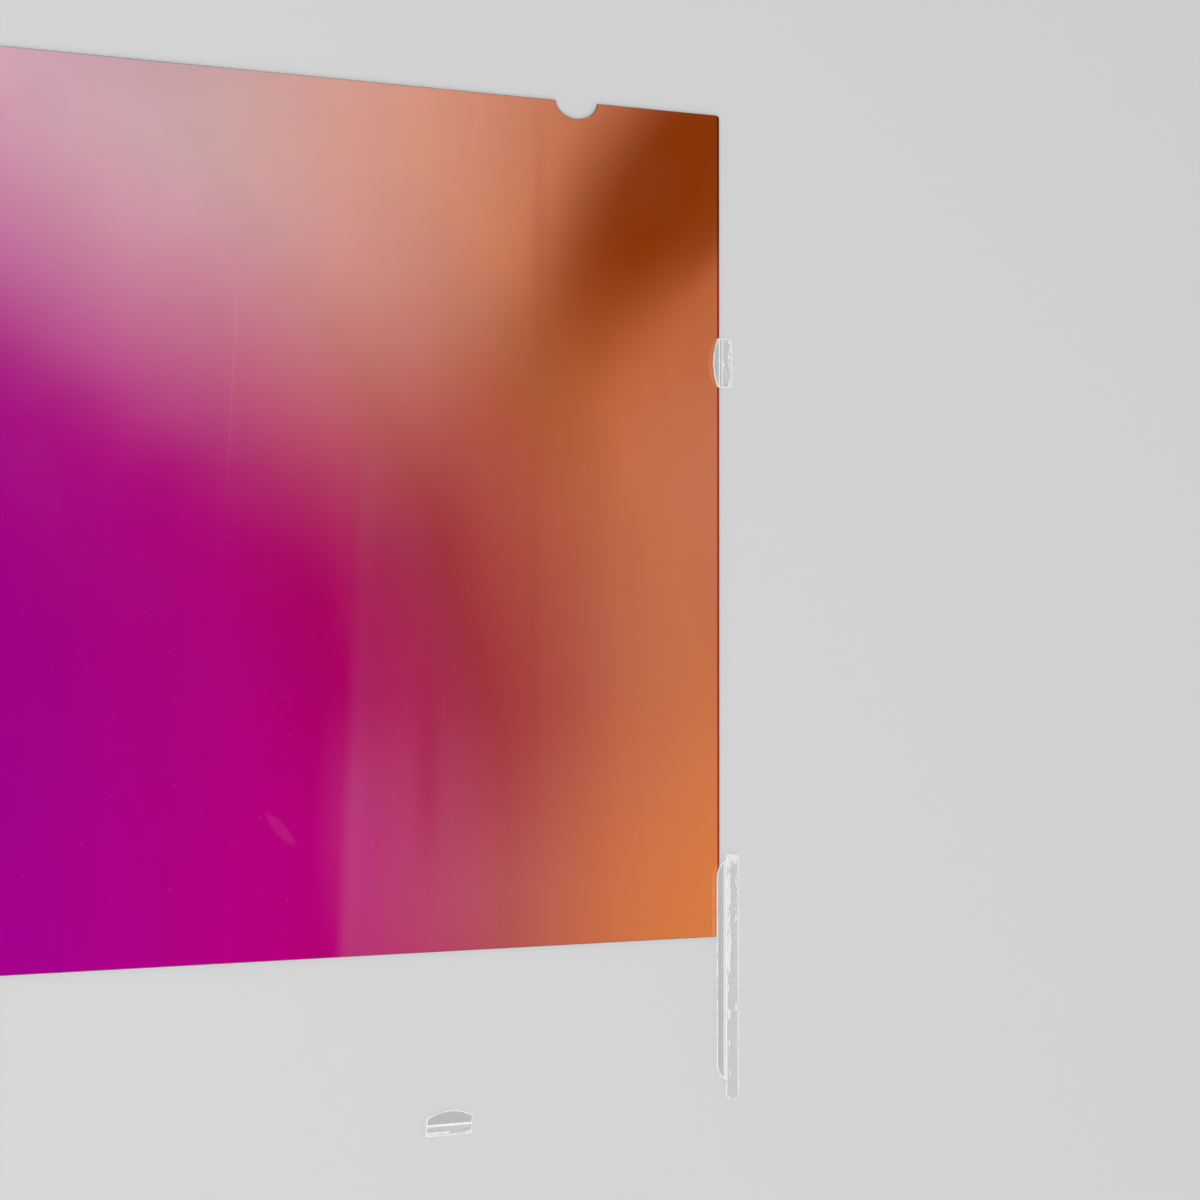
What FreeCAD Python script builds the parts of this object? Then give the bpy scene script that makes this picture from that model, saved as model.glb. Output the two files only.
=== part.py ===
import FreeCAD, Part
import math
import os
import Sketcher

# A filter sheet for a 27 inch wide screen and its clear slide tabs, in millimetres and degrees.
sizes = {
    "sheet_width": 597.0,
    "sheet_height": 336.0,
    "sheet_thickness": 0.6,
    "corner_radius": 1.5,
    "notch_width": 19.3,
    "notch_depth": 6.75,
    "notch_rise": 0.75,
    "notch_inset": 67.5,
    "lift": 65.5,
    "strip_thickness": 0.5,
    "bend_radius": 0.6,
    "lip_angle": 15.0,
    "lip_reach": 5.4,
    "lip_clearance": 0.2,
    "adhesive_thickness": 0.4,
    "adhesive_margin": 0.4,
    "tab_length": 20.0,
    "tab_base_width": 4.4,
    "tab_lip_side": 2.7,
    "upper_tab_drop": 36.0,
    "bottom_tab_inset": 125.0,
    "guide_length": 100.0,
    "guide_base_width": 6.0,
    "guide_offset": 1.7,
    "guide_overhang": 1.2,
    "guide_upper_setback": 2.0,
    "guide_lower_setback": 8.0,
    "guide_corner_radius": 8.0,
}

doc = FreeCAD.newDocument("PrivacyFilter")
sheet = doc.addObject("Spreadsheet::Sheet", "Sizes")
for row, (alias, value) in enumerate(sizes.items(), start=1):
    sheet.set(f"A{row}", alias)
    sheet.set(f"B{row}", str(value))
    sheet.setAlias(f"B{row}", alias)
doc.recompute()

# The ends and centre of a sketch edge, and the sketch's own origin and axes, as constraints number them.
START, END, CENTRE = range(1, 4)
X_AXIS, Y_AXIS = range(-1, -3, -1)
ORIGIN = (X_AXIS, START)

# A lip rises from the adhesive's level, so at this distance from its fold it clears the sheet's face.
SLOPE = "tan(Sizes.lip_angle * 1 deg)"
EDGE_GAP = f"(Sizes.sheet_thickness + Sizes.lip_clearance - Sizes.adhesive_thickness) / {SLOPE}"
SIDE_FOLD = f"(Sizes.sheet_width / 2 + {EDGE_GAP})"
GUIDE_FOLD = f"({SIDE_FOLD} + Sizes.guide_offset)"
BOTTOM_FOLD = f"(Sizes.sheet_height / 2 + {EDGE_GAP})"
UPPER_TAB_HEIGHT = "(Sizes.sheet_height / 2 - Sizes.upper_tab_drop)"
GUIDE_HEIGHT = "(Sizes.guide_length / 2 - Sizes.guide_overhang - Sizes.sheet_height / 2)"
BOTTOM_TAB_SIDE = "(Sizes.sheet_width / 2 - Sizes.bottom_tab_inset)"


def measure(expression):
    return float(sheet.evalExpression(expression))


def vector(x, y, z=0.0):
    return FreeCAD.Vector(x, y, z)


def new_body(label):
    body = doc.addObject("PartDesign::Body", label)
    body.Label = label
    return body


def new_sketch(body, name, plane):
    sketch = body.newObject("Sketcher::SketchObject", name)
    supports = [feature for feature in body.Origin.OriginFeatures if feature.Role == plane]
    sketch.AttachmentSupport = [(supports[0], "")]
    sketch.MapMode = "FlatFace"
    return sketch


def tie(sketch, kind, *picks):
    sketch.addConstraint(Sketcher.Constraint(kind, *picks))


def bind(sketch, kind, picks, expression):
    index = sketch.addConstraint(Sketcher.Constraint(kind, *picks, measure(expression)))
    sketch.setExpression(f"Constraints[{index}]", expression)


def bind_angle(sketch, line, expression):
    index = sketch.addConstraint(Sketcher.Constraint("Angle", line, math.radians(measure(expression))))
    sketch.setExpression(f"Constraints[{index}]", f"{expression} * 1 deg")


def add_polygon(sketch, corners):
    count = len(corners)
    for index, corner in enumerate(corners):
        following = corners[(index + 1) % count]
        sketch.addGeometry(Part.LineSegment(vector(*corner), vector(*following)))
    for index in range(count):
        tie(sketch, "Coincident", index, END, (index + 1) % count, START)


def add_rectangle(sketch, width, depth, drop):
    half_width = measure(width) / 2
    low = -measure(drop)
    high = low + measure(depth)
    add_polygon(sketch, [(-half_width, low), (half_width, low), (half_width, high), (-half_width, high)])
    tie(sketch, "Horizontal", 2)
    for line in (1, 3):
        tie(sketch, "Vertical", line)
    tie(sketch, "Symmetric", 0, START, 0, END, Y_AXIS)
    bind(sketch, "DistanceX", (0, START, 0, END), width)
    bind(sketch, "DistanceY", (1, START, 1, END), depth)
    bind(sketch, "DistanceY", (0, START, *ORIGIN), drop)


def pad(body, sketch, length, symmetric=False):
    feature = body.newObject("PartDesign::Pad", "Pad")
    feature.Profile = sketch
    if symmetric:
        feature.SideType = "Symmetric"
    feature.setExpression("Length", length)
    sketch.Visibility = False
    doc.recompute()
    return feature


def cut_upwards(body, sketch):
    before = body.Shape.Volume
    feature = body.newObject("PartDesign::Pocket", "Pocket")
    feature.Profile = sketch
    feature.Type = "ThroughAll"
    feature.Reversed = True
    sketch.Visibility = False
    doc.recompute()
    if not body.Shape.Volume < before:
        raise RuntimeError(f"{sketch.Name} cut nothing from {body.Label}")
    return feature


def round_edges(body, base, radius, places):
    names = []
    for place in places:
        distances = [(edge.CenterOfMass - place).Length for edge in base.Shape.Edges]
        names.append(f"Edge{distances.index(min(distances)) + 1}")
    feature = body.newObject("PartDesign::Fillet", "Fillet")
    feature.Base = (base, names)
    feature.setExpression("Radius", radius)
    doc.recompute()
    return feature


def place_body(body, across, along, turn=0.0):
    body.Placement = FreeCAD.Placement(vector(0, 0), FreeCAD.Rotation(vector(0, 0, 1), turn))
    body.setExpression("Placement.Base.x", across)
    body.setExpression("Placement.Base.y", along)


# The sheet: one flat plate with rounded corners and a half-oval finger notch in its top edge.
def make_filter_sheet():
    body = new_body("filter_sheet")
    outline = new_sketch(body, "sheet_outline", "XY_Plane")
    add_rectangle(outline, "Sizes.sheet_width", "Sizes.sheet_height", "Sizes.sheet_height / 2")
    plate = pad(body, outline, "Sizes.sheet_thickness")

    half_width = measure("Sizes.sheet_width / 2")
    half_height = measure("Sizes.sheet_height / 2")
    middle = measure("Sizes.sheet_thickness / 2")
    corners = [vector(x, y, middle) for x in (-half_width, half_width) for y in (-half_height, half_height)]
    round_edges(body, plate, "Sizes.corner_radius", corners)

    across = "Sizes.sheet_width / 2 - Sizes.notch_inset"
    above = "Sizes.sheet_height / 2 + Sizes.notch_rise"
    half_oval = "Sizes.notch_depth + Sizes.notch_rise"
    notch = new_sketch(body, "notch_outline", "XY_Plane")
    centre = vector(measure(across), measure(above))
    side = centre + vector(measure("Sizes.notch_width / 2"), 0)
    crown = centre + vector(0, measure(half_oval))
    oval = notch.addGeometry(Part.Ellipse(side, crown, centre))
    notch.exposeInternalGeometry(oval)
    long_axis = oval + 1
    short_axis = oval + 2
    tie(notch, "Horizontal", long_axis)
    bind(notch, "Distance", (long_axis,), "Sizes.notch_width")
    bind(notch, "Distance", (short_axis,), f"2 * ({half_oval})")
    bind(notch, "DistanceX", (*ORIGIN, oval, CENTRE), across)
    bind(notch, "DistanceY", (*ORIGIN, oval, CENTRE), above)
    cut_upwards(body, notch)
    place_body(body, "0", "Sizes.lift")
    return body


# A clear strip folded along the local X axis: its base lies behind the fold and its lip rises in front.
# The blank runs one thickness past the lip's reach, and the trim cuts it to its outline.
def fold_strip(body, length, base_width):
    base_end = -measure(base_width)
    foot = measure("Sizes.adhesive_thickness")
    thickness = measure("Sizes.strip_thickness")
    angle = math.radians(measure("Sizes.lip_angle"))
    blank_reach = "Sizes.lip_reach + Sizes.strip_thickness"
    reach = measure(blank_reach)
    tip_height = foot + reach * math.tan(angle)
    upper_fold = -thickness * math.tan(angle / 2)
    section = new_sketch(body, "strip_section", "YZ_Plane")
    add_polygon(section, [
        (base_end, foot),
        (0, foot),
        (reach, tip_height),
        (reach - thickness * math.sin(angle), tip_height + thickness * math.cos(angle)),
        (upper_fold, foot + thickness),
        (base_end, foot + thickness),
    ])
    underside, lip_underside, lip_end, lip_face, base_face, back = range(6)
    tie(section, "Horizontal", underside)
    tie(section, "Horizontal", base_face)
    tie(section, "Vertical", back)
    tie(section, "Perpendicular", lip_underside, lip_end)
    tie(section, "Parallel", lip_underside, lip_face)
    tie(section, "PointOnObject", underside, END, Y_AXIS)
    bind(section, "DistanceX", (underside, START, underside, END), base_width)
    bind(section, "DistanceY", (*ORIGIN, underside, END), "Sizes.adhesive_thickness")
    bind(section, "Distance", (lip_end,), "Sizes.strip_thickness")
    bind(section, "Distance", (back,), "Sizes.strip_thickness")
    bind(section, "DistanceX", (*ORIGIN, lip_underside, END), blank_reach)
    bind_angle(section, lip_underside, "Sizes.lip_angle")
    strip = pad(body, section, length, symmetric=True)

    inner = round_edges(body, strip, "Sizes.bend_radius", [vector(0, upper_fold, foot + thickness)])
    outer_radius = "Sizes.bend_radius + Sizes.strip_thickness"
    round_edges(body, inner, outer_radius, [vector(0, 0, foot)])


# A short tab's lip has straight sides and one shallow arc between them.
def trim_arched_lip(body):
    half_length = measure("Sizes.tab_length / 2")
    side = measure("Sizes.tab_lip_side")
    rise = "(Sizes.lip_reach - Sizes.tab_lip_side)"
    radius = f"((Sizes.tab_length / 2) ^ 2 + {rise} ^ 2) / (2 * {rise})"
    arc_radius = measure(radius)
    centre_height = measure("Sizes.lip_reach") - arc_radius
    start_angle = math.atan2(side - centre_height, half_length)
    beyond = measure("2 * Sizes.lip_reach")
    trim = new_sketch(body, "lip_trim", "XY_Plane")
    circle = Part.Circle(vector(0, centre_height), vector(0, 0, 1), arc_radius)
    arc = trim.addGeometry(Part.ArcOfCircle(circle, start_angle, math.pi - start_angle))
    corners = [(-half_length, side), (-2 * half_length, beyond), (2 * half_length, beyond), (half_length, side)]
    lines = []
    for first, second in zip(corners, corners[1:]):
        lines.append(trim.addGeometry(Part.LineSegment(vector(*first), vector(*second))))
    edges = [arc, *lines]
    for edge, following in zip(edges, [*lines, arc]):
        tie(trim, "Coincident", edge, END, following, START)
    top = lines[1]
    tie(trim, "Symmetric", arc, START, arc, END, Y_AXIS)
    tie(trim, "Symmetric", top, START, top, END, Y_AXIS)
    bind(trim, "DistanceX", (arc, END, arc, START), "Sizes.tab_length")
    bind(trim, "DistanceY", (*ORIGIN, arc, START), "Sizes.tab_lip_side")
    bind(trim, "Radius", (arc,), radius)
    bind(trim, "DistanceX", (top, START, top, END), "2 * Sizes.tab_length")
    bind(trim, "DistanceY", (*ORIGIN, top, START), "2 * Sizes.lip_reach")
    cut_upwards(body, trim)


# A guide's lip is straight, stops short of both ends of the strip and has rounded corners.
def trim_rounded_lip(body, first_setback, last_setback):
    first_end = f"Sizes.guide_length / 2 - {first_setback}"
    last_end = f"Sizes.guide_length / 2 - {last_setback}"
    reach = measure("Sizes.lip_reach")
    radius = measure("Sizes.guide_corner_radius")
    centre_height = reach - radius
    run = math.sqrt(radius ** 2 - centre_height ** 2)
    foot_angle = math.atan2(-centre_height, run)
    left = -measure(first_end)
    right = measure(last_end)
    outer = measure("Sizes.guide_length")
    beyond = 2 * reach
    trim = new_sketch(body, "lip_trim", "XY_Plane")
    up = vector(0, 0, 1)
    last_circle = Part.Circle(vector(right - run, centre_height), up, radius)
    first_circle = Part.Circle(vector(left + run, centre_height), up, radius)
    last_corner = trim.addGeometry(Part.ArcOfCircle(last_circle, foot_angle, math.pi / 2))
    free_edge = trim.addGeometry(Part.LineSegment(vector(right - run, reach), vector(left + run, reach)))
    first_corner = trim.addGeometry(Part.ArcOfCircle(first_circle, math.pi / 2, math.pi - foot_angle))
    corners = [(left, 0), (-outer, 0), (-outer, beyond), (outer, beyond), (outer, 0), (right, 0)]
    lines = []
    for first, second in zip(corners, corners[1:]):
        lines.append(trim.addGeometry(Part.LineSegment(vector(*first), vector(*second))))
    tie(trim, "Tangent", last_corner, END, free_edge, START)
    tie(trim, "Tangent", free_edge, END, first_corner, START)
    chain = [first_corner, *lines, last_corner]
    for edge, following in zip(chain, chain[1:]):
        tie(trim, "Coincident", edge, END, following, START)
    first_foot, first_side, top, last_side, last_foot = lines
    for line in (free_edge, first_foot, last_foot):
        tie(trim, "Horizontal", line)
    for line in (first_side, last_side):
        tie(trim, "Vertical", line)
    tie(trim, "Equal", first_corner, last_corner)
    tie(trim, "PointOnObject", first_corner, END, X_AXIS)
    tie(trim, "PointOnObject", last_corner, START, X_AXIS)
    tie(trim, "Symmetric", top, START, top, END, Y_AXIS)
    bind(trim, "Radius", (first_corner,), "Sizes.guide_corner_radius")
    bind(trim, "DistanceY", (*ORIGIN, free_edge, START), "Sizes.lip_reach")
    bind(trim, "DistanceX", (first_corner, END, *ORIGIN), first_end)
    bind(trim, "DistanceX", (*ORIGIN, last_corner, START), last_end)
    bind(trim, "DistanceX", (top, START, top, END), "2 * Sizes.guide_length")
    bind(trim, "DistanceY", (*ORIGIN, top, START), "2 * Sizes.lip_reach")
    cut_upwards(body, trim)


# The adhesive lies under the strip's base, set in from the base's edges.
def make_adhesive(label, length, base_width):
    body = new_body(label)
    outline = new_sketch(body, "adhesive_outline", "XY_Plane")
    pad_length = f"{length} - 2 * Sizes.adhesive_margin"
    pad_width = f"{base_width} - 2 * Sizes.adhesive_margin"
    add_rectangle(outline, pad_length, pad_width, f"{base_width} - Sizes.adhesive_margin")
    pad(body, outline, "Sizes.adhesive_thickness")
    return body


def make_short_tab(kind, side, across, along, turn):
    tab = new_body(f"{kind}_{side}")
    fold_strip(tab, "Sizes.tab_length", "Sizes.tab_base_width")
    trim_arched_lip(tab)
    adhesive = make_adhesive(f"{kind}_adhesive_{side}", "Sizes.tab_length", "Sizes.tab_base_width")
    for body in (tab, adhesive):
        place_body(body, across, along, turn)
    return [tab, adhesive]


def make_side_guide(side, across, turn, setbacks):
    guide = new_body(f"side_guide_{side}")
    fold_strip(guide, "Sizes.guide_length", "Sizes.guide_base_width")
    trim_rounded_lip(guide, *setbacks)
    adhesive = make_adhesive(f"side_guide_adhesive_{side}", "Sizes.guide_length", "Sizes.guide_base_width")
    for body in (guide, adhesive):
        place_body(body, across, GUIDE_HEIGHT, turn)
    return [guide, adhesive]


# Tabs on the right face the sheet after a quarter turn, those on the left after a quarter turn back.
parts = [make_filter_sheet()]
parts += make_short_tab("upper_tab", "right", SIDE_FOLD, UPPER_TAB_HEIGHT, 90.0)
parts += make_short_tab("upper_tab", "left", f"-{SIDE_FOLD}", UPPER_TAB_HEIGHT, -90.0)
parts += make_short_tab("bottom_tab", "right", BOTTOM_TAB_SIDE, f"-{BOTTOM_FOLD}", 0.0)
parts += make_short_tab("bottom_tab", "left", f"-{BOTTOM_TAB_SIDE}", f"-{BOTTOM_FOLD}", 0.0)
low_end_first = ("Sizes.guide_lower_setback", "Sizes.guide_upper_setback")
parts += make_side_guide("right", GUIDE_FOLD, 90.0, low_end_first)
parts += make_side_guide("left", f"-{GUIDE_FOLD}", -90.0, low_end_first[::-1])
doc.recompute()

for item in doc.Objects:
    if "Invalid" in item.State or "Error" in item.State:
        raise RuntimeError(f"{item.Label} did not recompute: {item.State}")
for body in parts:
    if body.Shape.isNull() or not body.Shape.isValid() or len(body.Shape.Solids) != 1:
        raise RuntimeError(f"{body.Label} is not one sound solid")

os.makedirs("parts", exist_ok=True)
for body in parts:
    body.Shape.exportStep(f"parts/{body.Label}.step")
    print(f"{body.Label}: {body.Shape.Volume:.2f} mm3, box {body.Shape.BoundBox}")
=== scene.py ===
import bpy
import math
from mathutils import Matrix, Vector


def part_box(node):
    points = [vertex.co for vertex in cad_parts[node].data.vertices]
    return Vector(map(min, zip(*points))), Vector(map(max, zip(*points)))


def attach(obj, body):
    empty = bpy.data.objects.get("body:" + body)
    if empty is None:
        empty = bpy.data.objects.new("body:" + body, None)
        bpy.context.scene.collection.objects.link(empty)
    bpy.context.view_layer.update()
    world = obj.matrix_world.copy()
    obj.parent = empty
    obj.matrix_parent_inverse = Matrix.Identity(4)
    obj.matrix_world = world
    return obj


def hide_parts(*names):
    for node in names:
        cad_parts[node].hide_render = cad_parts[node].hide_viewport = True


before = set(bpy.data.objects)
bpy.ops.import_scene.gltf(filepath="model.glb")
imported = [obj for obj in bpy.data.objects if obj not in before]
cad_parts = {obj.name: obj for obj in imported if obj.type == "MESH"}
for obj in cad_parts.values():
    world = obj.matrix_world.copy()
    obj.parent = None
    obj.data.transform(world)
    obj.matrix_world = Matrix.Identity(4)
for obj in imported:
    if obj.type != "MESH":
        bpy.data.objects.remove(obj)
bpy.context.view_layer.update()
scene = bpy.context.scene
scene.view_settings.view_transform = "Standard"
print("frame loaded with", len(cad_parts), "solids")


# selecting and shaping

shaping = {
    "merge": 1e-6, "flatAngle": 0.5,  # each flat side becomes one face
    "rimAngle": 40, "rimSegments": 2, "smoothAngle": 50,  # the soft folds get no rim
    "upright": 0.5,  # a face looks up or down past this height of its normal
}
faceSlot, edgeSlot = 0, 1  # materials of a piece: its face, and its cut edge or back


def pickOnly(piece):
    bpy.ops.object.select_all(action="DESELECT")
    bpy.context.view_layer.objects.active = piece
    piece.select_set(True)


def copySolid(nodeName, pieceName):
    piece = bpy.data.objects.new(pieceName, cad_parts[nodeName].data.copy())
    scene.collection.objects.link(piece)
    piece.data.materials.clear()
    pickOnly(piece)
    bpy.ops.mesh.customdata_custom_splitnormals_clear()
    bpy.ops.object.mode_set(mode="EDIT")
    bpy.ops.mesh.select_all(action="SELECT")
    bpy.ops.mesh.remove_doubles(threshold=shaping["merge"])
    bpy.ops.mesh.dissolve_limited(angle_limit=math.radians(shaping["flatAngle"]))
    bpy.ops.object.mode_set(mode="OBJECT")
    return piece


def roundRim(piece, width):
    rim = piece.modifiers.new("rim", "BEVEL")
    rim.width = width
    rim.segments = shaping["rimSegments"]
    rim.limit_method = "ANGLE"
    rim.angle_limit = math.radians(shaping["rimAngle"])
    rim.material = edgeSlot
    flat = piece.modifiers.new("flat", "WEIGHTED_NORMAL")  # large faces stay level up to their rims
    flat.keep_sharp = True
    pickOnly(piece)
    bpy.ops.object.modifier_apply(modifier=rim.name)
    bpy.ops.object.shade_smooth_by_angle(angle=math.radians(shaping["smoothAngle"]))
    bpy.ops.object.modifier_apply(modifier=flat.name)


# wiring of nodes

def newMaterial(name):
    material = bpy.data.materials.new(name)
    material.use_nodes = True
    tree = material.node_tree
    return material, tree, tree.nodes["Principled BSDF"]


def feed(tree, socket, value):
    if isinstance(value, bpy.types.NodeSocket):
        tree.links.new(value, socket)
    else:
        socket.default_value = value


def compute(tree, operation, first, second=0.0):
    node = tree.nodes.new("ShaderNodeMath")
    node.operation = operation
    feed(tree, node.inputs[0], first)
    feed(tree, node.inputs[1], second)
    return node.outputs[0]


def fade(tree, value, start, end, low=0.0, high=1.0, shape="SMOOTHSTEP"):
    node = tree.nodes.new("ShaderNodeMapRange")
    node.interpolation_type = shape
    feed(tree, node.inputs["Value"], value)
    node.inputs["From Min"].default_value = start
    node.inputs["From Max"].default_value = end
    node.inputs["To Min"].default_value = low
    node.inputs["To Max"].default_value = high
    return node.outputs["Result"]


def tint(tree, kind, amount, under, over):
    node = tree.nodes.new("ShaderNodeMix")
    node.data_type = "RGBA"
    node.blend_type = kind
    feed(tree, node.inputs["Factor"], amount)
    for socket, colour in ((node.inputs[6], under), (node.inputs[7], over)):
        feed(tree, socket, (*colour, 1.0) if isinstance(colour, tuple) else colour)
    return node.outputs[2]


def dim(tree, colour, amount):
    node = tree.nodes.new("ShaderNodeVectorMath")
    node.operation = "SCALE"
    tree.links.new(colour, node.inputs[0])
    tree.links.new(amount, node.inputs["Scale"])
    return node.outputs[0]


# object coordinates about a centre, turned and stretched
def spot(tree, centre=(0, 0), turn=0.0, stretch=(1, 1)):
    where = tree.nodes.new("ShaderNodeTexCoord")
    node = tree.nodes.new("ShaderNodeMapping")
    node.vector_type = "TEXTURE"
    node.inputs["Location"].default_value = (*centre, 0)
    node.inputs["Rotation"].default_value = (0, 0, math.radians(turn))
    node.inputs["Scale"].default_value = (*stretch, 1)
    tree.links.new(where.outputs["Object"], node.inputs["Vector"])
    return node.outputs["Vector"]


def axes(tree, vector):
    node = tree.nodes.new("ShaderNodeSeparateXYZ")
    tree.links.new(vector, node.inputs[0])
    return node.outputs


def reach(tree, vector):  # distance from the centre
    node = tree.nodes.new("ShaderNodeVectorMath")
    node.operation = "LENGTH"
    tree.links.new(vector, node.inputs[0])
    return node.outputs["Value"]


noiseMiddle = 0.5  # a noise runs to both sides of this


def noise(tree, vector, scale, detail):
    node = tree.nodes.new("ShaderNodeTexNoise")
    tree.links.new(vector, node.inputs["Vector"])
    node.inputs["Scale"].default_value = scale
    node.inputs["Detail"].default_value = detail
    return node.outputs["Fac"]


def colourBand(tree, value, stops):  # stops are (place, colour) pairs in rising order
    start, end = stops[0][0], stops[-1][0]
    node = tree.nodes.new("ShaderNodeValToRGB")
    ramp = node.color_ramp
    while len(ramp.elements) < len(stops):
        ramp.elements.new(1.0)
    for element, (place, colour) in zip(ramp.elements, stops):
        element.position = (place - start) / (end - start)
        element.color = (*colour, 1.0)
    tree.links.new(fade(tree, value, start, end, shape="LINEAR"), node.inputs["Fac"])
    return node.outputs["Color"]


# filter sheet: gold film in front, black behind and along the cut edge

filmLook = {
    "redFoot": (0.2018, -0.094), "redHead": (0.0653, 0.203), "redCurve": 2.2,  # line of the purest red
    "violet": (-0.50, (0.30, 0.0, 0.29)),  # colours by their distance to the right of that line
    "purple": (-0.20, (0.36, 0.0, 0.25)),
    "magenta": (-0.105, (0.44, 0.0, 0.195)),
    "rose": (-0.044, (0.41, 0.0, 0.095)),
    "brick": (0.0, (0.350, 0.020, 0.033)),
    "copper": (0.072, (0.50, 0.118, 0.045)),
    "gold": (0.10, (0.565, 0.145, 0.047)),
    "paintedSheenEdge": 0.1315, "paintedSheenLean": 0.045, "paintedSheenSoft": 0.004,  # painted reflection: paler to the right of this edge
    "paintedSheenFoot": (0.0, -0.045, 0.016, 0.034), "paintedSheenTop": (0.06, 0.14),
    "gain": 1.11, "paintedFootLight": (0.04, -0.10, 1.23),  # painted light: brighter towards the bottom edge
    "streak": 45, "streakStretch": 60, "streakDepth": 0.03,  # faint bands along the sheet's height
    "streakRange": (0.3, 0.7), "pale": (1.0, 1.0, 1.0),
    "darkEdgeReflection": (0.50, 0.20, 0.10), "darkEdgeReflectionWidth": 0.0011, "darkEdgeReflectionSoft": 0.0002,  # painted dark reflection: a dark line at both sides
    "dust": 85, "dustSize": 0.022, "dustCore": 0.5, "dustRare": 0.75, "dustWhite": 0.10,
    "roughness": (0.085, 0.115), "smudge": 22, "smudgeRange": (0.35, 0.7), "ior": 2.6,
    "wave": 5.0, "waveDepth": 0.00015,
}

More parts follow.
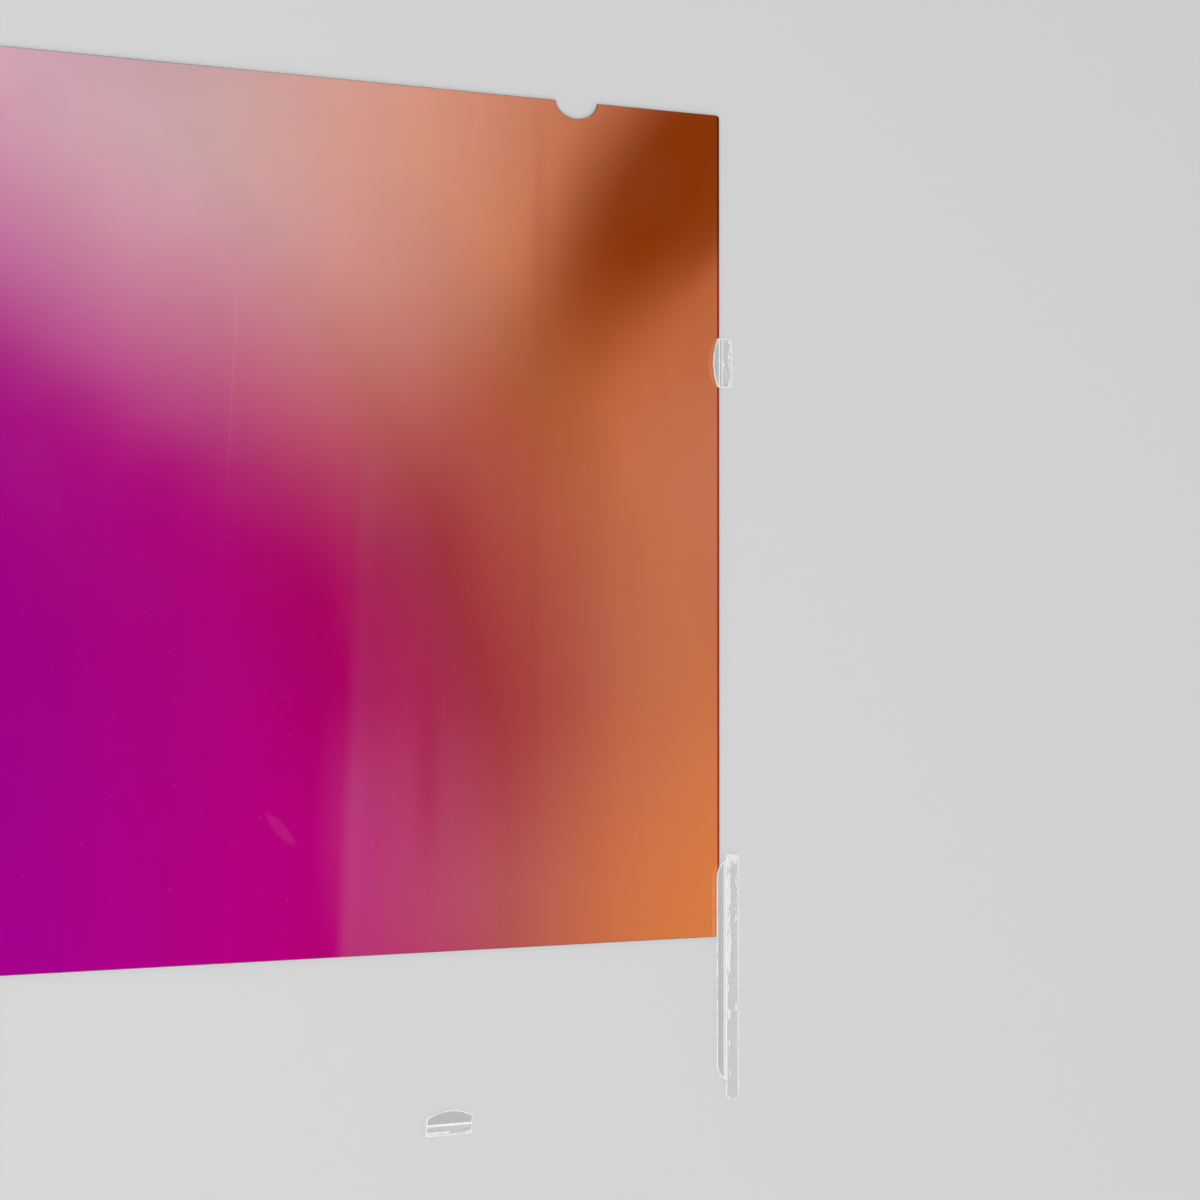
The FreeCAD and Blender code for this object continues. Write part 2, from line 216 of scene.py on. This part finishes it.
# soft patches on the film: centre, turn in degrees, half sizes, and where the fading starts and ends
filmPatches = (
    {"kind": "MIX", "colour": (0.85, 0.245, 0.055), "amount": 0.8,  # painted light: bright lower right corner
     "at": (0.310, -0.100), "turn": 0, "size": (0.14, 0.13), "soft": (0.0, 1.0)},
    {"kind": "ADD", "colour": (1.0, 1.0, 1.0), "amount": 0.03,  # painted light: pale glow at the foot
     "at": (0.190, -0.085), "turn": 0, "size": (0.065, 0.055), "soft": (0.0, 1.0)},
    {"kind": "ADD", "colour": (1.0, 0.85, 0.6), "amount": 0.026,  # and painted light over the copper
     "at": (0.265, 0.010), "turn": 0, "size": (0.06, 0.06), "soft": (0.0, 1.0)},
    {"kind": "ADD", "colour": (1.0, 0.32, 0.10), "amount": 0.10,  # painted light: warm glow above the red line
     "at": (0.136, 0.125), "turn": 0, "size": (0.07, 0.08), "soft": (0.0, 1.0)},
    {"kind": "ADD", "colour": (1.0, 1.0, 1.0), "amount": 0.026,  # painted light: pale glow at the right side
     "at": (0.305, 0.095), "turn": 0, "size": (0.07, 0.085), "soft": (0.0, 1.0)},
    {"kind": "ADD", "colour": (1.0, 1.0, 1.0), "amount": 0.013,  # painted reflection, rounding the purple field's corner
     "at": (0.127, 0.064), "turn": 0, "size": (0.022, 0.032), "soft": (0.0, 1.0)},
    {"kind": "ADD", "colour": (1.0, 1.0, 1.0), "amount": 0.006,  # painted reflection at its side
     "at": (0.130, 0.036), "turn": 0, "size": (0.010, 0.035), "soft": (0.0, 1.0)},
    {"kind": "ADD", "colour": (1.0, 1.0, 1.0), "amount": 0.0115,  # painted reflection, softening that at the foot
     "at": (0.127, -0.054), "turn": 0, "size": (0.014, 0.062), "soft": (0.0, 1.0)},
    {"kind": "ADD", "colour": (1.0, 0.0, 1.0), "amount": 0.022,  # pinker there
     "at": (0.125, -0.062), "turn": 0, "size": (0.05, 0.06), "soft": (0.0, 1.0)},
    {"kind": "ADD", "colour": (1.0, 1.0, 1.0), "amount": 0.010,  # painted reflection, paler on both sides of the darker band
     "at": (0.160, -0.050), "turn": 0, "size": (0.045, 0.085), "soft": (0.0, 1.0)},
    {"kind": "MULTIPLY", "colour": (0.65, 0.65, 0.65), "amount": 1.0,  # painted shade: darker upper left
     "at": (0.030, 0.240), "turn": 0, "size": (0.13, 0.13), "soft": (0.0, 1.0)},
    {"kind": "MULTIPLY", "colour": (0.93, 0.70, 0.80), "amount": 1.0,  # the darker band
     "at": (0.1637, -0.032), "turn": 0, "size": (0.0095, 0.065), "soft": (0.0, 1.0)},
    {"kind": "MULTIPLY", "colour": (0.965, 0.93, 0.95), "amount": 1.0,  # a fainter one
     "at": (0.2110, 0.040), "turn": 0, "size": (0.005, 0.16), "soft": (0.0, 1.0)},
    {"kind": "MULTIPLY", "colour": (0.94, 0.86, 0.82), "amount": 1.0,  # that one's upper end
     "at": (0.2138, 0.185), "turn": 0, "size": (0.0045, 0.085), "soft": (0.0, 1.0)},
    {"kind": "MULTIPLY", "colour": (0.95, 0.92, 0.80), "amount": 1.0,  # duller left of it
     "at": (0.190, 0.130), "turn": 0, "size": (0.035, 0.045), "soft": (0.0, 1.0)},
    {"kind": "ADD", "colour": (0.4, 0.5, 1.0), "amount": 0.014,  # cooler copper right of it
     "at": (0.272, 0.080), "turn": 0, "size": (0.06, 0.10), "soft": (0.0, 1.0)},
    {"kind": "MULTIPLY", "colour": (0.87, 0.85, 0.80), "amount": 1.0,  # painted shade below the dark corner
     "at": (0.222, 0.125), "turn": 0, "size": (0.042, 0.065), "soft": (0.0, 1.0)},
    {"kind": "MIX", "colour": (0.295, 0.042, 0.0), "amount": 1.0,  # painted dark reflection in the upper right corner
     "at": (0.274, 0.206), "turn": -37, "size": (0.047, 0.115), "soft": (0.25, 1.10)},
    {"kind": "MIX", "colour": (0.295, 0.042, 0.0), "amount": 0.6,  # that painted dark reflection up to the sheet's side
     "at": (0.300, 0.196), "turn": -37, "size": (0.018, 0.05), "soft": (0.2, 1.0)},
    {"kind": "ADD", "colour": (1.0, 1.0, 1.0), "amount": 0.038,  # fine double scratch
     "at": (0.0814, 0.1168), "turn": 87.1, "size": (0.051, 0.00025), "soft": (0.5, 1.0)},
    {"kind": "ADD", "colour": (1.0, 1.0, 1.0), "amount": 0.022,
     "at": (0.0826, 0.1190), "turn": 87.6, "size": (0.040, 0.00020), "soft": (0.5, 1.0)},
    {"kind": "ADD", "colour": (1.0, 0.0, 0.15), "amount": 0.028,  # faint wiped line
     "at": (0.0908, -0.0194), "turn": 43.7, "size": (0.034, 0.0021), "soft": (0.3, 1.0)},
    {"kind": "ADD", "colour": (1.0, 0.30, 0.15), "amount": 0.032,  # short smear
     "at": (0.1015, -0.0530), "turn": -46, "size": (0.0102, 0.0027), "soft": (0.60, 1.0)},
)


def dustSpecks(tree, look):
    cells = tree.nodes.new("ShaderNodeTexVoronoi")
    cells.voronoi_dimensions = "2D"
    cells.inputs["Scale"].default_value = look["dust"]
    tree.links.new(spot(tree), cells.inputs["Vector"])
    chosen = compute(tree, "GREATER_THAN", axes(tree, cells.outputs["Color"])[0], look["dustRare"])
    core = look["dustSize"] * look["dustCore"]
    speck = fade(tree, cells.outputs["Distance"], core, look["dustSize"], look["dustWhite"], 0.0)
    return compute(tree, "MULTIPLY", speck, chosen)


def filmColour(tree, look):
    x, y = axes(tree, spot(tree))[:2]
    climb = fade(tree, y, look["redFoot"][1], look["redHead"][1], shape="LINEAR")
    swing = look["redFoot"][0] - look["redHead"][0]
    lean = compute(tree, "MULTIPLY", compute(tree, "POWER", climb, look["redCurve"]), swing)
    offset = compute(tree, "ADD", compute(tree, "SUBTRACT", x, look["redFoot"][0]), lean)
    names = ("violet", "purple", "magenta", "rose", "brick", "copper", "gold")
    colour = colourBand(tree, offset, [look[name] for name in names])

    # painted reflection: paler right of a leaning edge, stronger towards the foot, gone near the top
    paintedSheenX = compute(tree, "SUBTRACT", x, compute(tree, "MULTIPLY", y, look["paintedSheenLean"]))
    paintedSheen = fade(tree, paintedSheenX, look["paintedSheenEdge"] - look["paintedSheenSoft"], look["paintedSheenEdge"] + look["paintedSheenSoft"])
    paintedSheen = compute(tree, "MULTIPLY", paintedSheen, fade(tree, y, *look["paintedSheenFoot"]))
    paintedSheen = compute(tree, "MULTIPLY", paintedSheen, fade(tree, y, *look["paintedSheenTop"], 1.0, 0.0))
    colour = tint(tree, "ADD", paintedSheen, colour, look["pale"])

    bands = noise(tree, spot(tree, stretch=(1, look["streakStretch"])), look["streak"], detail=3)
    depth = look["streakDepth"]
    bands = fade(tree, bands, *look["streakRange"], 1.0 - depth, 1.0 + depth, shape="LINEAR")
    # painted light: the film grows brighter towards its bottom edge
    start, end, most = look["paintedFootLight"]
    paintedLift = fade(tree, y, start, end, look["gain"], most)
    colour = dim(tree, colour, compute(tree, "MULTIPLY", bands, paintedLift))
    for patch in filmPatches:
        away = reach(tree, spot(tree, patch["at"], patch["turn"], patch["size"]))
        amount = fade(tree, away, *patch["soft"], patch["amount"], 0.0)
        colour = tint(tree, patch["kind"], amount, colour, patch["colour"])

    colour = tint(tree, "ADD", dustSpecks(tree, look), colour, look["pale"])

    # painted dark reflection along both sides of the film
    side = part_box("filter_sheet")[1].x - look["darkEdgeReflectionWidth"]
    soft = look["darkEdgeReflectionSoft"]
    darkEdgeReflection = fade(tree, compute(tree, "ABSOLUTE", x), side - soft, side + soft)
    return tint(tree, "MULTIPLY", darkEdgeReflection, colour, look["darkEdgeReflection"])


def roughen(tree, shader, look):  # smudges dull the gloss a little
    smudges = noise(tree, spot(tree), look["smudge"], detail=4)
    smudges = fade(tree, smudges, *look["smudgeRange"], *look["roughness"])
    tree.links.new(smudges, shader.inputs["Roughness"])


def ripple(tree, shader, height, depth):
    bump = tree.nodes.new("ShaderNodeBump")
    bump.inputs["Distance"].default_value = depth
    tree.links.new(height, bump.inputs["Height"])
    tree.links.new(bump.outputs["Normal"], shader.inputs["Normal"])


def goldFilm(look):
    material, tree, shader = newMaterial("goldFilm")
    tree.links.new(filmColour(tree, look), shader.inputs["Base Color"])
    roughen(tree, shader, look)
    shader.inputs["IOR"].default_value = look["ior"]
    ripple(tree, shader, noise(tree, spot(tree), look["wave"], detail=1), look["waveDepth"])
    return material


backLook = {
    "dark": (0.010, 0.010, 0.011), "light": (0.020, 0.020, 0.022),
    "cloud": 9, "cloudRange": (0.35, 0.65), "grain": 2500, "grainDepth": 0.00001,
    "roughness": (0.28, 0.42), "smudge": 40, "smudgeRange": (0.35, 0.65),
}


def blackBack(look):
    material, tree, shader = newMaterial("blackBack")
    clouds = fade(tree, noise(tree, spot(tree), look["cloud"], detail=4), *look["cloudRange"])
    tree.links.new(tint(tree, "MIX", clouds, look["dark"], look["light"]), shader.inputs["Base Color"])
    roughen(tree, shader, look)
    ripple(tree, shader, noise(tree, spot(tree), look["grain"], detail=2), look["grainDepth"])
    return material


sheetShape = {"rim": 0.00012}


def makeSheet():
    sheet = copySolid("filter_sheet", "sheet")
    sheet.data.materials.append(goldFilm(filmLook))
    sheet.data.materials.append(blackBack(backLook))
    for face in sheet.data.polygons:
        face.material_index = faceSlot if face.normal.z > shaping["upright"] else edgeSlot
    roundRim(sheet, sheetShape["rim"])
    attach(sheet, "filter")
    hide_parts("filter_sheet")


makeSheet()
print("sheet made")


# clear tabs: one folded strip each, on a thin adhesive pad

padMargin = 0.0004  # from the fold line to the pad's edge
folds = {
    "upper_tab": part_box("upper_tab_adhesive_right")[0].x - padMargin,
    "side_guide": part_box("side_guide_adhesive_right")[0].x - padMargin,
    "bottom_tab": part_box("bottom_tab_adhesive_right")[1].y + padMargin,
}


def pastFold(tree, kind):  # distance from the fold line, outwards over the base
    x, y = axes(tree, spot(tree))[:2]
    if kind == "bottom_tab":
        return compute(tree, "SUBTRACT", folds[kind], y)
    return compute(tree, "SUBTRACT", compute(tree, "ABSOLUTE", x), folds[kind])


plasticLook = {
    "clear": (0.97, 0.975, 0.97), "hazy": (0.50, 0.51, 0.52), "ior": 1.5, "roughness": 0.05,
    # the lip's grey haze is partly frosting and partly painted reflection
    "lipHaze": 0.80, "lipSoft": 0.0004, "baseHaze": 0.05, "lampTint": (0.96, 0.96, 0.96),
    "highlightWhite": (0.95, 0.955, 0.955), "edgeHaze": (0.54, 0.9),
    "edgeGrain": 300, "edgeRange": (0.3, 0.6),  # the cut edges and the band along each outline are white in patches, partly the cut's own scatter and partly painted highlight
    # painted highlights along the creases: place past the fold, width, whiteness
    "upper_tab": ((-0.0020, 0.0004, 0.9), (-0.0003, 0.0005, 0.75)),
    "side_guide": ((-0.0011, 0.0011, 0.55), (0.0, 0.0004, 0.95)),
    "bottom_tab": ((0.0003, 0.0005, 0.95),),
    "foldHighlightCore": 0.4,  # share of that width that is evenly white
    "crackle": 900, "wander": 0.0005,  # makes the creases ragged
}


def blend(tree, amount, shader, other):  # from one shader to another, on to the surface
    mix = tree.nodes.new("ShaderNodeMixShader")
    tree.links.new(amount, mix.inputs[0])
    tree.links.new(shader.outputs[0], mix.inputs[1])
    tree.links.new(other.outputs[0], mix.inputs[2])
    tree.links.new(mix.outputs[0], tree.nodes["Material Output"].inputs["Surface"])


def letLampsThrough(tree, shader, lampTint):
    clear = tree.nodes.new("ShaderNodeBsdfTransparent")
    clear.inputs["Color"].default_value = (*lampTint, 1.0)
    light = tree.nodes.new("ShaderNodeLightPath")
    lit = compute(tree, "MAXIMUM", light.outputs["Is Shadow Ray"], light.outputs["Is Diffuse Ray"])
    blend(tree, lit, shader, clear)


def finishPlastic(tree, shader, look, haze, colour):
    tree.links.new(compute(tree, "SUBTRACT", 1.0, haze), shader.inputs["Transmission Weight"])
    tree.links.new(colour, shader.inputs["Base Color"])
    shader.inputs["Roughness"].default_value = look["roughness"]
    shader.inputs["IOR"].default_value = look["ior"]
    letLampsThrough(tree, shader, look["lampTint"])


def clearPlastic(kind, look):
    material, tree, shader = newMaterial("clearPlastic_" + kind)
    past = pastFold(tree, kind)
    # the lip is hazier and greyer than the base, partly frosting and partly painted reflection
    lip = fade(tree, past, -look["lipSoft"], look["lipSoft"], 1.0, 0.0)
    haze = fade(tree, lip, 0.0, 1.0, look["baseHaze"], look["lipHaze"])
    colour = tint(tree, "MIX", lip, look["clear"], look["hazy"])
    crackle = compute(tree, "SUBTRACT", noise(tree, spot(tree), look["crackle"], detail=3), noiseMiddle)
    ragged = compute(tree, "ADD", past, compute(tree, "MULTIPLY", crackle, look["wander"]))
    # a painted highlight along each crease
    for place, width, white in look[kind]:
        away = compute(tree, "ABSOLUTE", compute(tree, "SUBTRACT", ragged, place))
        foldHighlight = fade(tree, away, width * look["foldHighlightCore"], width, white, 0.0)
        haze = compute(tree, "MAXIMUM", haze, foldHighlight)
        colour = tint(tree, "MIX", foldHighlight, colour, look["highlightWhite"])
    finishPlastic(tree, shader, look, haze, colour)
    return material


def cutPlastic(look):  # cut edges and the band along each outline: white in patches, partly painted highlight
    material, tree, shader = newMaterial("cutPlastic")
    patchy = noise(tree, spot(tree), look["edgeGrain"], detail=2)
    patchy = fade(tree, patchy, *look["edgeRange"], *look["edgeHaze"])
    colour = tint(tree, "MIX", patchy, look["clear"], look["highlightWhite"])
    finishPlastic(tree, shader, look, patchy, colour)
    return material


padLook = {
    "colour": (0.92, 0.92, 0.91), "roughness": 0.45, "ior": 1.47,
    "clear": 0.08, "blotch": 0.95, "bubbleRange": (0.62, 0.70), "grain": 420,
    "stretch": {"upper_tab": 1.4, "bottom_tab": 3.0, "side_guide": 3.0},  # of the bubbles, along a tab
    # where each pad stuck badly: place past the fold, width, whiteness
    "upper_tab": ((0.0036, 0.0011, 0.20),),
    "bottom_tab": ((0.0036, 0.0011, 0.20),),
    "side_guide": ((0.0014, 0.0012, 0.27), (0.0049, 0.0006, 0.13)),
    "core": 0.3,  # share of that width that is evenly white
    "endSmear": (0.0060, 0.0010, 0.24),  # more bubbles at the upper end of each guide
    "clearEnd": (0.015, 0.055, -0.20),  # and fewer at its lower end
}


def padAdhesive(kind, look):
    material, tree, shader = newMaterial("clearAdhesive_" + kind)
    past = pastFold(tree, kind)
    longer = look["stretch"][kind]
    along = (longer, 1) if kind == "bottom_tab" else (1, longer)
    bubbles = noise(tree, spot(tree, stretch=along), look["grain"], detail=4)
    for place, width, white in look[kind]:
        away = compute(tree, "ABSOLUTE", compute(tree, "SUBTRACT", past, place))
        loose = fade(tree, away, width * look["core"], width, white, 0.0)
        bubbles = compute(tree, "ADD", bubbles, loose)
    if kind == "side_guide":
        low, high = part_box("side_guide_adhesive_right")
        y = axes(tree, spot(tree))[1]
        start, end, more = look["endSmear"]
        smear = fade(tree, y, high.y - start, high.y - end, 0.0, more)
        bubbles = compute(tree, "ADD", bubbles, smear)
        start, end, less = look["clearEnd"]
        stuck = fade(tree, y, low.y + start, low.y + end, less, 0.0)
        bubbles = compute(tree, "ADD", bubbles, stuck)
    cloudy = fade(tree, bubbles, *look["bubbleRange"], look["clear"], look["blotch"])
    tree.links.new(cloudy, shader.inputs["Alpha"])
    shader.inputs["Base Color"].default_value = (*look["colour"], 1.0)
    shader.inputs["Roughness"].default_value = look["roughness"]
    shader.inputs["IOR"].default_value = look["ior"]
    return material


tabShape = {"rim": 0.00006, "edgeBand": 0.00036, "padDrop": 0.00001}


def edgeBand(piece, width):  # a narrow band along the outline of the upper side, which takes the painted edge highlight
    pickOnly(piece)
    bpy.ops.object.mode_set(mode="EDIT")
    bpy.ops.mesh.select_mode(type="FACE")
    bpy.ops.mesh.select_all(action="DESELECT")
    bpy.ops.object.mode_set(mode="OBJECT")
    for face in piece.data.polygons:
        face.select = face.normal.z > shaping["upright"]
    bpy.ops.object.mode_set(mode="EDIT")
    bpy.ops.mesh.inset(thickness=width, depth=0, use_even_offset=True)
    bpy.ops.object.mode_set(mode="OBJECT")
    for face in piece.data.polygons:
        under = face.normal.z < -shaping["upright"]
        face.material_index = faceSlot if face.select or under else edgeSlot


def makeTabs():
    cut = cutPlastic(plasticLook)
    for kind in ("upper_tab", "side_guide", "bottom_tab"):
        plastic = clearPlastic(kind, plasticLook)
        adhesive = padAdhesive(kind, padLook)
        for side in ("left", "right"):
            node = kind + "_" + side
            strip = copySolid(node, kind + "_strip_" + side)
            strip.data.materials.append(plastic)
            strip.data.materials.append(cut)
            edgeBand(strip, tabShape["edgeBand"])
            roundRim(strip, tabShape["rim"])
            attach(strip, "tabs")
            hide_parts(node)

            node = kind + "_adhesive_" + side
            pad = copySolid(node, kind + "_pad_" + side)
            pad.data.materials.append(adhesive)
            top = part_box(node)[1].z
            for corner in pad.data.vertices:  # the upper side, a hair under the strip
                if corner.co.z > top / 2:
                    corner.co.z = top - tabShape["padDrop"]
            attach(pad, "tabs")
            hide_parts(node)


makeTabs()
print("tabs made")


# studio: pale floor, soft lights and the camera

floorLook = {
    "colour": (0.64, 0.64, 0.64), "roughness": 0.9, "size": 60.0, "drop": 0.0001,
    "far": 0.70, "fading": (0.6, 1.8),  # keeps one tone away from the lamps
}


def makeFloor(look):
    bpy.ops.mesh.primitive_plane_add(size=look["size"], location=(0, 0, -look["drop"]))
    floor = bpy.context.object
    floor.name = "floor"
    material, tree, shader = newMaterial("paleFloor")
    shader.inputs["Base Color"].default_value = (*look["colour"], 1.0)
    shader.inputs["Roughness"].default_value = look["roughness"]
    light = tree.nodes.new("ShaderNodeLightPath")
    seen = compute(tree, "MAXIMUM", light.outputs["Is Camera Ray"], light.outputs["Is Glossy Ray"])
    seen = compute(tree, "MAXIMUM", seen, light.outputs["Is Transmission Ray"])
    distant = fade(tree, reach(tree, spot(tree)), *look["fading"])
    glow = tree.nodes.new("ShaderNodeEmission")
    glow.inputs["Strength"].default_value = look["far"]
    blend(tree, compute(tree, "MULTIPLY", seen, distant), shader, glow)
    floor.data.materials.append(material)


keyCard = {
    "corner": (1.312, 0.0803), "height": 2.2, "size": (2.0, 1.3), "turn": -25,
    "soft": (0.45, 0.27), "farSoft": (1.1, 1.0), "radiance": 1.96,
}


def makeKeyCard(look):
    width, depth = look["size"]
    half = 0.5
    bpy.ops.mesh.primitive_plane_add(size=2 * half)
    card = bpy.context.object
    card.name = "keyCard"
    for corner in card.data.vertices:  # lower right corner at the object's own centre
        corner.co = ((corner.co.x - half) * width, (corner.co.y + half) * depth, 0)
    card.location = (*look["corner"], look["height"])
    card.rotation_euler = (0, 0, math.radians(look["turn"]))
    card.visible_camera = False
    material, tree = newMaterial("keyCard")[:2]
    glow = tree.nodes.new("ShaderNodeEmission")
    x, y = axes(tree, spot(tree))[:2]
    power = look["radiance"]
    for edge in (fade(tree, x, 0.0, -look["soft"][0], shape="LINEAR"),
                 fade(tree, y, 0.0, look["soft"][1], shape="LINEAR"),
                 fade(tree, x, -width, look["farSoft"][0] - width),
                 fade(tree, y, depth, depth - look["farSoft"][1], shape="LINEAR")):
        power = compute(tree, "MULTIPLY", edge, power)
    tree.links.new(power, glow.inputs["Strength"])
    tree.links.new(glow.outputs[0], tree.nodes["Material Output"].inputs["Surface"])
    card.data.materials.append(material)


softboxes = {
    "topBox": {"place": (-0.9, -0.2, 2.4), "aim": (0.0, 0.0, 0.0), "size": (1.6, 1.8), "radiance": 5.5},
    "frontBox": {"place": (1.4, -2.2, 1.6), "aim": (0.1, 0.0, 0.0), "size": (1.6, 1.0), "radiance": 3.4},
    "sideBox": {"place": (1.9, -0.2, 0.5), "aim": (0.3, 0.0, 0.0), "size": (1.4, 0.8), "radiance": 1.5},
}
surround = {"ceiling": 0.002, "walls": 1.0, "rise": (0.35, 0.65)}  # from pale walls up to a dark ceiling


def makeLights(boxes, look):
    for name, box in boxes.items():
        width, height = box["size"]
        lamp = bpy.data.lights.new(name, "AREA")
        lamp.shape = "RECTANGLE"
        lamp.size = width
        lamp.size_y = height
        lamp.energy = box["radiance"] * math.pi * width * height
        holder = bpy.data.objects.new(name, lamp)
        holder.location = box["place"]
        facing = Vector(box["aim"]) - Vector(box["place"])
        holder.rotation_euler = facing.to_track_quat("-Z", "Y").to_euler()
        holder.visible_camera = False
        holder.visible_glossy = False  # mirror images would wash out the film in other views
        scene.collection.objects.link(holder)
    world = bpy.data.worlds.new("studio")
    scene.world = world
    world.use_nodes = True
    tree = world.node_tree
    background = tree.nodes["Background"]
    up = axes(tree, tree.nodes.new("ShaderNodeTexCoord").outputs["Generated"])[2]
    seen = tree.nodes.new("ShaderNodeLightPath").outputs["Is Camera Ray"]
    strength = tree.nodes.new("ShaderNodeMix")
    tree.links.new(seen, strength.inputs["Factor"])
    tree.links.new(fade(tree, up, *look["rise"], look["walls"], look["ceiling"]), strength.inputs["A"])
    strength.inputs["B"].default_value = floorLook["far"]  # no line where the floor ends
    tree.links.new(strength.outputs["Result"], background.inputs["Strength"])
    background.inputs["Color"].default_value = (1, 1, 1, 1)


viewPoint = {
    "place": (-0.4206, 0.0185, 1.1219), "tilt": 0.71, "turn": -30.57,
    "lens": 97.6, "sensor": 36.0, "nearest": 0.01,
}


def makeCamera(look):
    lens = bpy.data.cameras.new("camera")
    lens.lens = look["lens"]
    lens.sensor_width = look["sensor"]
    lens.clip_start = look["nearest"]
    camera = bpy.data.objects.new("camera", lens)
    camera.location = look["place"]
    camera.rotation_euler = (math.radians(look["tilt"]), math.radians(look["turn"]), 0)
    scene.collection.objects.link(camera)
    scene.camera = camera


makeFloor(floorLook)
makeKeyCard(keyCard)
makeLights(softboxes, surround)
makeCamera(viewPoint)
print("studio made")
